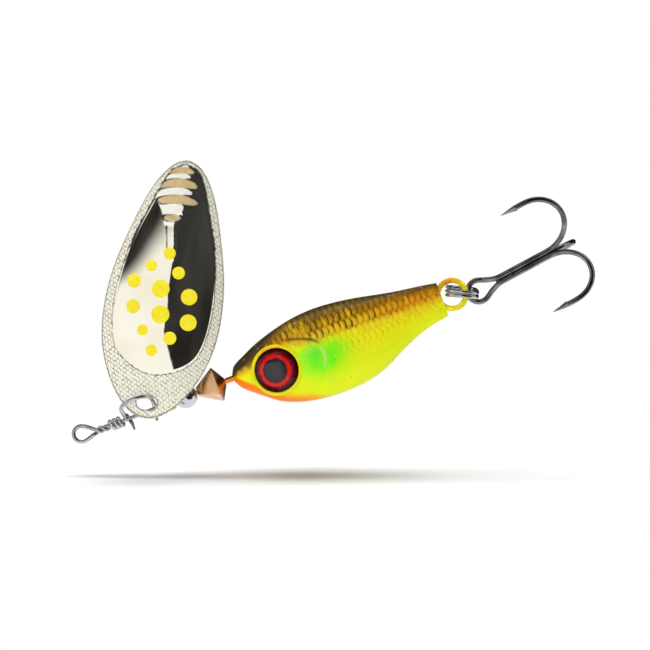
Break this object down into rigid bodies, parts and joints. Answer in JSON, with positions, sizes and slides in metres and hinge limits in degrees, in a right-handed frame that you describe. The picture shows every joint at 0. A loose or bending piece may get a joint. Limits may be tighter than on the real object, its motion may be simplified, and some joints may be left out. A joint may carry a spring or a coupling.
{
  "type": "inline spinner",
  "caption": "Inline spinner lure: dished oval blade on a wire clevis, beads, cast fish-shaped body with domed eyes, split ring and treble hook.",
  "frame": {"origin": "centre of the line eye's loop, on the shaft's axis", "axes": "+X along the shaft to the hook, +Z to the fish's back, -Y to the fish's left side"},
  "size_m": [0.0957, 0.0194, 0.0481],
  "materials": {
    "stainless_wire": "drawn bright wire",
    "ring_lacquer": "yellow gloss lacquer",
    "plated_blade": "pale gold plate, polished dish and knurled border",
    "brass_bead": "turned",
    "chrome_ball": "polished",
    "copper_bead": "copper plate, polished facets",
    "fish_lacquer": "olive back, yellow-green flank, orange throat, clear gloss coat",
    "eye_foil": "red foil with a black pupil",
    "eye_resin": "clear domed resin",
    "stainless_ring": "bright",
    "black_nickel": "black nickel"
  },
  "bodies": {
    "lure": {"through_wire": "stainless_wire", "wire_wrap": "stainless_wire", "tail_ring_lacquer": "ring_lacquer", "fish_body": "fish_lacquer", "left_eye_foil": "eye_foil", "left_eye_dome": "eye_resin", "right_eye_foil": "eye_foil", "right_eye_dome": "eye_resin"},
    "clevis": {"clevis": "stainless_wire"},
    "blade": {"blade": "plated_blade"},
    "bearing_bead": {"bearing_bead": "brass_bead"},
    "steel_ball": {"steel_ball": "chrome_ball"},
    "faceted_bead": {"faceted_bead": "copper_bead"},
    "split_ring": {"split_ring": "stainless_ring"},
    "treble_hook": {"hook_pair": "black_nickel", "hook_single": "black_nickel", "hook_braze": "black_nickel"}
  },
  "joints": [
    {"name": "clevis_spin", "type": "hinge", "parent": "lure", "child": "clevis", "pos_m": [0, 0, 0], "axis": [1, 0, 0], "continuous": true},
    {"name": "blade_swing", "type": "hinge", "parent": "clevis", "child": "blade", "pos_m": [0.01389, -0.00325, 0.00145], "axis": [0, -0.9135, 0.4067], "range_deg": [-50, 12]},
    {"name": "bearing_spin", "type": "hinge", "parent": "lure", "child": "bearing_bead", "pos_m": [0, 0, 0], "axis": [1, 0, 0], "continuous": true},
    {"name": "ball_spin", "type": "hinge", "parent": "lure", "child": "steel_ball", "pos_m": [0, 0, 0], "axis": [1, 0, 0], "continuous": true},
    {"name": "faceted_spin", "type": "hinge", "parent": "lure", "child": "faceted_bead", "pos_m": [0, 0, 0], "axis": [1, 0, 0], "continuous": true},
    {"name": "split_ring_swing", "type": "hinge", "parent": "lure", "child": "split_ring", "pos_m": [0.06931, 0, -0.00017], "axis": [0, -1, 0], "range_deg": [-45, 45]},
    {"name": "hook_swing", "type": "hinge", "parent": "split_ring", "child": "treble_hook", "pos_m": [0.0733, 0, -0.00149], "axis": [0, -1, 0], "range_deg": [-60, 60]}
  ]
}
